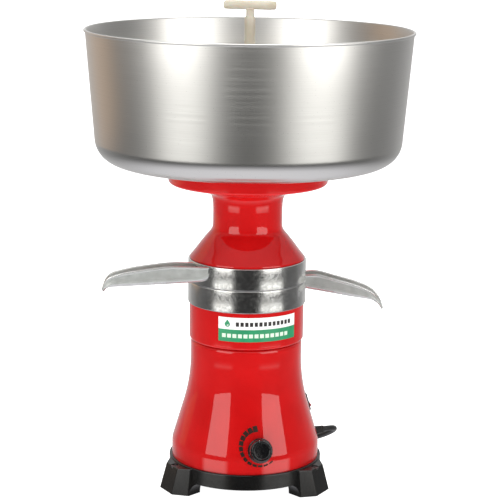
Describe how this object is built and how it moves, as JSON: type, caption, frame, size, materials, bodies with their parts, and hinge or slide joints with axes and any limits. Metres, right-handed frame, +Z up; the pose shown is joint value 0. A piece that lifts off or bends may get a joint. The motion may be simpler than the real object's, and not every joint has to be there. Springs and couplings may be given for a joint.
{
  "type": "cream separator",
  "caption": "Household electric centrifugal cream separator with milk bowl, float chamber, two spouted receivers, drum and motor in a skirted housing on a tripod base.",
  "frame": {"origin": "on the drum axis at the level of the floor under the foot pads", "axes": "+Z up along the drum axis, -Y towards the front with the speed knob and label, +X towards the skim milk spout"},
  "size_m": [0.365, 0.3979, 0.5488],
  "materials": {
    "red_shell": "gloss",
    "black_base": "satin",
    "rubber_black": "matte",
    "screw_steel": "satin",
    "plate_steel": "satin",
    "cast_bracket": "as cast",
    "bearing_steel": "ground",
    "lamination": "stacked sheets",
    "copper": "enamelled copper",
    "brass": "satin",
    "carbon": "dull",
    "fan_plastic": "satin",
    "board_green": "solder mask",
    "board_dark": "satin",
    "cream_plastic": "satin",
    "label_print": "printed foil",
    "dial_print": "printed",
    "cast_alloy": "polished casting",
    "spun_alloy": "satin spun",
    "drum_alloy": "turned",
    "seal_rubber": "matte",
    "knob_plastic": "gloss",
    "rocker_plastic": "gloss",
    "cord_pvc": "satin",
    "pin_metal": "plated"
  },
  "bodies": {
    "root": {"foot_pads": "rubber_black", "base_ring": "black_base", "foot_screws": "screw_steel", "base_screws": "screw_steel", "bottom_plate": "black_base", "motor_housing": "red_shell", "drum_chamber": "red_shell", "label_band": "label_print", "dial_marks": "dial_print", "motor_plate": "plate_steel", "motor_dampers": "rubber_black", "motor_screws": "screw_steel", "upper_bracket": "cast_bracket", "lower_bracket": "cast_bracket", "motor_bolts": "screw_steel", "upper_bearing": "bearing_steel", "lower_bearing": "bearing_steel", "stator_core": "lamination", "field_coils": "copper", "brush_holders": "brass", "carbon_brushes": "carbon", "shaft_seal": "rubber_black", "control_board": "board_green", "board_parts": "board_dark", "board_posts": "cream_plastic", "potentiometer": "plate_steel", "pot_nut": "plate_steel", "switch_frame": "knob_plastic", "float_chamber": "red_shell", "feed_nozzle": "brass", "milk_bowl": "spun_alloy", "outlet_gasket": "rubber_black", "outlet_bush": "cream_plastic", "outlet_nut": "cream_plastic", "strain_relief": "rubber_black", "power_cord": "cord_pvc", "cord_coil": "cord_pvc", "cord_tail": "cord_pvc", "coil_tie": "cord_pvc", "plug_body": "cord_pvc", "plug_pins": "pin_metal"},
    "rotor": {"spindle": "bearing_steel", "armature_core": "lamination", "armature_windings": "copper", "commutator": "copper", "cooling_fan": "fan_plastic", "drum_base": "drum_alloy", "drum_seal": "seal_rubber", "disc_holder": "drum_alloy", "disc_stack": "drum_alloy", "drum_shell": "drum_alloy", "cream_screw": "brass", "drum_nut": "brass"},
    "skim_ring": {"skim_receiver": "cast_alloy"},
    "cream_ring": {"cream_receiver": "cast_alloy"},
    "float": {"milk_float": "cream_plastic"},
    "valve": {"milk_valve": "cream_plastic"},
    "knob": {"pot_shaft": "plate_steel", "speed_knob": "knob_plastic"},
    "rocker": {"power_rocker": "rocker_plastic"}
  },
  "joints": [
    {"name": "drum_spin", "type": "hinge", "parent": "root", "child": "rotor", "pos_m": [0, 0, 0.19], "axis": [0, 0, 1], "continuous": true},
    {"name": "skim_swing", "type": "hinge", "parent": "root", "child": "skim_ring", "pos_m": [0, 0, 0.212], "axis": [0, 0, 1], "range_deg": [-60, 60]},
    {"name": "cream_swing", "type": "hinge", "parent": "root", "child": "cream_ring", "pos_m": [0, 0, 0.237], "axis": [0, 0, 1], "range_deg": [-60, 60]},
    {"name": "float_rise", "type": "slide", "parent": "root", "child": "float", "axis": [0, 0, 1], "range_m": [0, 0.005]},
    {"name": "valve_turn", "type": "hinge", "parent": "root", "child": "valve", "pos_m": [0, 0, 0.38], "axis": [0, 0, 1], "range_deg": [0, 90]},
    {"name": "speed_turn", "type": "hinge", "parent": "root", "child": "knob", "pos_m": [0.01636, -0.07969, 0.059], "axis": [0.1928, -0.9392, 0.284], "range_deg": [-270, 0]},
    {"name": "power_tip", "type": "hinge", "parent": "root", "child": "rocker", "pos_m": [0.06875, 0.01842, 0.08807], "axis": [-0.2588, 0.9659, 0], "range_deg": [0, 16]}
  ]
}
